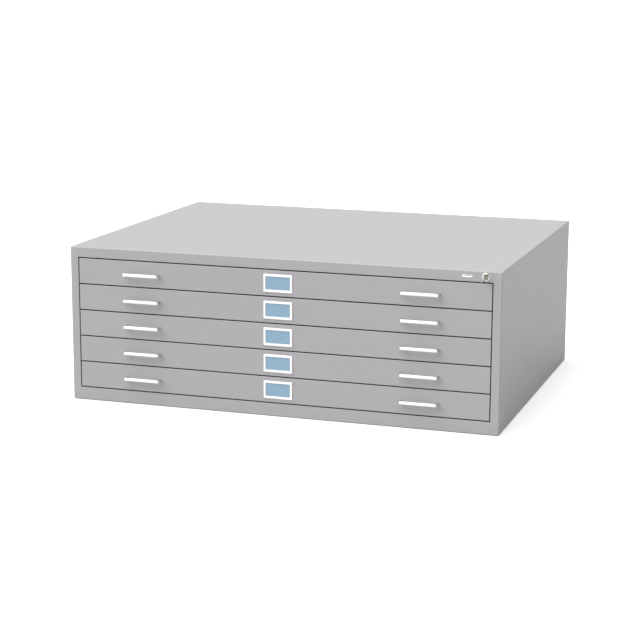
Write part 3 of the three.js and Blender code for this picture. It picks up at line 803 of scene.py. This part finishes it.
class FLATFILE_OT_card_holders(bpy.types.Operator):
    """Makes the chrome card holders and their cards"""

    bl_idname = "flat_file.card_holders"
    bl_label = "Card holders"

    def execute(self, context):
        sizes = context.scene.flat_file_sizes
        for number in DRAWERS:
            body = f"drawer_{number}"
            frame_node, card_node = f"drawer_{number}_label_frame", f"drawer_{number}_label_card"
            piece(f"card_holder_{number}", self.holder(*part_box(frame_node), sizes), body, "chrome",
                  sheet=sizes.holder_sheet, edge=BROKEN_EDGE, replaces=(frame_node,))
            low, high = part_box(card_node)
            card = soft_block(low, high, FINE_EDGE, 1)
            piece(f"card_{number}", card, body, "card", replaces=(card_node,))
        return {"FINISHED"}

    @staticmethod
    def holder(low, high, sizes):
        """A drawn frame: a rounded rim with a window, open at the back for the card."""
        bm = open_pan(low, high, sizes.holder_corner, 1, high.y)
        front = [face for face in bm.faces if lies_on(face, 1, low.y)]
        bmesh.ops.inset_region(
            bm, faces=front, thickness=sizes.holder_border - sizes.holder_corner, use_even_offset=True)
        rim = 2 * sizes.holder_corner
        inner = [face for face in bm.faces if lies_on(face, 1, low.y) and not any(
            abs(vert.co.x - low.x) < rim or abs(vert.co.x - high.x) < rim for vert in face.verts)]
        for face in inner:
            for vert in face.verts:
                if vert.co.z < (low.z + high.z) / 2:
                    vert.co.z += sizes.holder_foot - sizes.holder_border
        bmesh.ops.delete(bm, geom=inner, context="FACES_ONLY")
        return bm


class FLATFILE_OT_lock(bpy.types.Operator):
    """Makes the lock, its cam and bar, the key and the key ring"""

    bl_idname = "flat_file.lock"
    bl_label = "Lock and key"

    def execute(self, context):
        self.barrel()
        self.plug(context.scene.flat_file_sizes)
        self.ring()
        kept_shapes = (
            ("lock_key", "key_in_lock", 0.25, "lock_plug", "key_nickel"),
            ("lock_cam_plate", "lock_cam", 0.25, "lock_plug", "plated_steel"),
            ("lock_clamp_nut", "lock_nut", 0.4, "case", "plated_steel"),
            ("lock_hook_bar", "lock_bar", 0.3, "lock_bar", "plated_steel"),
        )
        for name, node, corner, body, slot in kept_shapes:
            piece(name, softened(node, corner * MM), body, slot, replaces=(node,))
        return {"FINISHED"}

    def barrel(self):
        """The barrel: a domed flange with a shallow groove round the plug, and the body behind the rail."""
        low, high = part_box("lock_housing")
        flange = (high.x - low.x) / 2
        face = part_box("drawer_1_front")[0].y
        centre = Vector(((low.x + high.x) / 2, 0, (low.z + high.z) / 2))
        bore, body, flange_back = 6.8 * MM, 9 * MM, face - 0.3 * MM
        outline = [(low.y + 0.7 * MM, bore), (low.y + 0.2 * MM, bore + 0.4 * MM), (low.y, bore + 1.2 * MM),
                   (low.y, flange - 1.8 * MM), (low.y + 0.3 * MM, flange - 0.8 * MM),
                   (low.y + 1.1 * MM, flange - 0.15 * MM), (low.y + 1.8 * MM, flange),
                   (flange_back, flange), (flange_back, body), (high.y, body), (high.y, bore)]
        piece("lock_barrel", turned(outline, centre, "Y", 56), "case", "chrome", replaces=("lock_housing",))

    def plug(self, sizes):
        """The plug, with a keyway cut into its face."""
        low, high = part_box("lock_plug")
        centre = Vector(((low.x + high.x) / 2, 0, (low.z + high.z) / 2))
        radius = (high.x - low.x) / 2
        bm = bmesh.new()
        bmesh.ops.create_cone(
            bm, cap_ends=True, segments=40, radius1=radius, radius2=radius, depth=high.y - low.y)
        bmesh.ops.rotate(bm, cent=(0, 0, 0), matrix=Matrix.Rotation(math.pi / 2, 3, "X"), verts=bm.verts)
        bmesh.ops.translate(bm, vec=(centre.x, (low.y + high.y) / 2, centre.z), verts=bm.verts)
        half_width, half_height = sizes.keyway_width / 2, sizes.keyway_height / 2
        mouth = window(bm, low.y, {
            0: (centre.x - half_width, centre.x + half_width),
            2: (centre.z - half_height, centre.z + half_height),
        })
        drawn = bmesh.ops.extrude_face_region(bm, geom=mouth)["geom"]
        bmesh.ops.delete(bm, geom=mouth, context="FACES_ONLY")
        bmesh.ops.translate(bm, vec=(0, sizes.keyway_depth, 0), verts=verts_of(drawn))
        bmesh.ops.recalc_face_normals(bm, faces=bm.faces)
        piece("lock_plug_face", bm, "lock_plug", "key_nickel", edge=0.25 * MM, replaces=("lock_plug",))

    def ring(self):
        """A split ring: two turns of wire side by side."""
        low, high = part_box("key_ring")
        centre = (low + high) / 2
        wire = (high.y - low.y) / 4
        radius = (high.x - low.x) / 2 - 2 * wire
        turns, sides = [], 10
        for offset in (-wire, wire):
            angles = [2 * math.pi * step / sides for step in range(sides)]
            outline = [(offset + wire * math.cos(angle), radius + wire * math.sin(angle)) for angle in angles]
            turns.append(turned(outline, centre, "Y", 40))
        piece("split_ring", joined(*turns), "key_ring", "key_nickel", replaces=("key_ring",), smooth=80)


class FLATFILE_OT_stage(bpy.types.Operator):
    """Sets the pale floor, the white surroundings, the soft light and the camera"""

    bl_idname = "flat_file.stage"
    bl_label = "Stage"

    def execute(self, context):
        stage = context.scene.flat_file_stage
        self.floor()
        self.sky(context, stage)
        self.lamp("overhead_soft_light", stage.overhead, 75, (-0.3, -0.35, 1))
        self.lamp("left_front_soft_light", stage.side, 40, (-0.75, -1, 0.85))
        self.camera(context, stage)
        return {"FINISHED"}

    def floor(self):
        """A pale floor that throws less light back at the cabinet than it shows the camera."""
        bm = bmesh.new()
        bmesh.ops.create_grid(bm, x_segments=1, y_segments=1, size=30)
        bmesh.ops.translate(bm, vec=(0, 0, -1 * MM), verts=bm.verts)
        mesh = bpy.data.meshes.new("floor")
        bm.to_mesh(mesh)
        bm.free()
        paper = Finish("floor_paper", {"Roughness": 0.9, "Emission Strength": 0.3})
        bounced = paper.add("ShaderNodeLightPath", {}, {}, "Is Diffuse Ray")
        seen = paper.add("ShaderNodeLightPath", {}, {}, "Is Camera Ray")
        pale, dim = (0.93, 0.93, 0.93), (0.34, 0.34, 0.34)
        paper.feed("Base Color", paper.blend(bounced, pale, dim))
        paper.feed("Emission Color", paper.blend(seen, (0, 0, 0), (1, 1, 1)))
        mesh.materials.append(paper.material)
        floor = bpy.data.objects.new("floor", mesh)
        bpy.context.scene.collection.objects.link(floor)

    def sky(self, context, stage):
        """White surroundings, which light the cabinet less strongly than they look."""
        world = bpy.data.worlds.new("white_surroundings")
        world.use_nodes = True
        tree = world.node_tree
        background = tree.nodes["Background"]
        background.inputs["Color"].default_value = (1, 1, 1, 1)
        rays = tree.nodes.new("ShaderNodeLightPath")
        strength = tree.nodes.new("ShaderNodeMapRange")
        strength.inputs["To Min"].default_value = stage.sky
        strength.inputs["To Max"].default_value = stage.backdrop
        tree.links.new(rays.outputs["Is Camera Ray"], strength.inputs["Value"])
        tree.links.new(strength.outputs[0], background.inputs["Strength"])
        context.scene.world = world
        context.scene.view_settings.view_transform = "Standard"

    def lamp(self, name, strength, spread, towards):
        """A soft light from a direction. spread is the angle in degrees that it fills."""
        light = bpy.data.lights.new(name, "SUN")
        light.energy = strength
        light.angle = math.radians(spread)
        lamp = bpy.data.objects.new(name, light)
        lamp.rotation_euler = Vector(towards).to_track_quat("Z", "Y").to_euler()
        bpy.context.scene.collection.objects.link(lamp)

    def camera(self, context, stage):
        eye = bpy.data.cameras.new("camera")
        eye.lens = stage.lens
        eye.sensor_width = 36
        camera = bpy.data.objects.new("camera", eye)
        level = Vector((math.sin(stage.heading), math.cos(stage.heading), 0))
        forward = level * math.cos(stage.tilt) - Vector((0, 0, math.sin(stage.tilt)))
        right = forward.cross(Vector((0, 0, 1))).normalized()
        right = Matrix.Rotation(-stage.roll, 3, forward) @ right
        up = right.cross(forward)
        turn = Matrix((right, up, -forward)).transposed().to_4x4()
        camera.matrix_world = Matrix.Translation(stage.position) @ turn
        context.scene.collection.objects.link(camera)
        context.scene.camera = camera


OPERATORS = (
    FLATFILE_OT_stage,
    FLATFILE_OT_case,
    FLATFILE_OT_tracks,
    FLATFILE_OT_fronts,
    FLATFILE_OT_trays,
    FLATFILE_OT_depressors,
    FLATFILE_OT_rollers,
    FLATFILE_OT_pulls,
    FLATFILE_OT_card_holders,
    FLATFILE_OT_lock,
)


class FLATFILE_PT_cabinet(bpy.types.Panel):
    """Lists the cabinet's parts"""

    bl_idname = "FLATFILE_PT_cabinet"
    bl_label = "Flat file cabinet"
    bl_space_type = "VIEW_3D"
    bl_region_type = "UI"
    bl_category = "Flat File"

    def draw(self, context):
        for operator in OPERATORS:
            self.layout.operator(operator.bl_idname)


GROUPS = {
    "flat_file_sizes": FlatFileSizes,
    "flat_file_colours": FlatFileColours,
    "flat_file_stage": FlatFileStage,
}


def register():
    for cls in (*GROUPS.values(), *OPERATORS, FLATFILE_PT_cabinet):
        bpy.utils.register_class(cls)
    for name, group in GROUPS.items():
        setattr(bpy.types.Scene, name, PointerProperty(type=group))


def unregister():
    for name in GROUPS:
        delattr(bpy.types.Scene, name)
    for cls in reversed((*GROUPS.values(), *OPERATORS, FLATFILE_PT_cabinet)):
        bpy.utils.unregister_class(cls)


def main():
    """Builds everything in order."""
    register()
    for operator in OPERATORS:
        getattr(bpy.ops.flat_file, operator.bl_idname.split(".")[1])()
    bpy.context.view_layer.update()


if __name__ == "__main__":
    main()
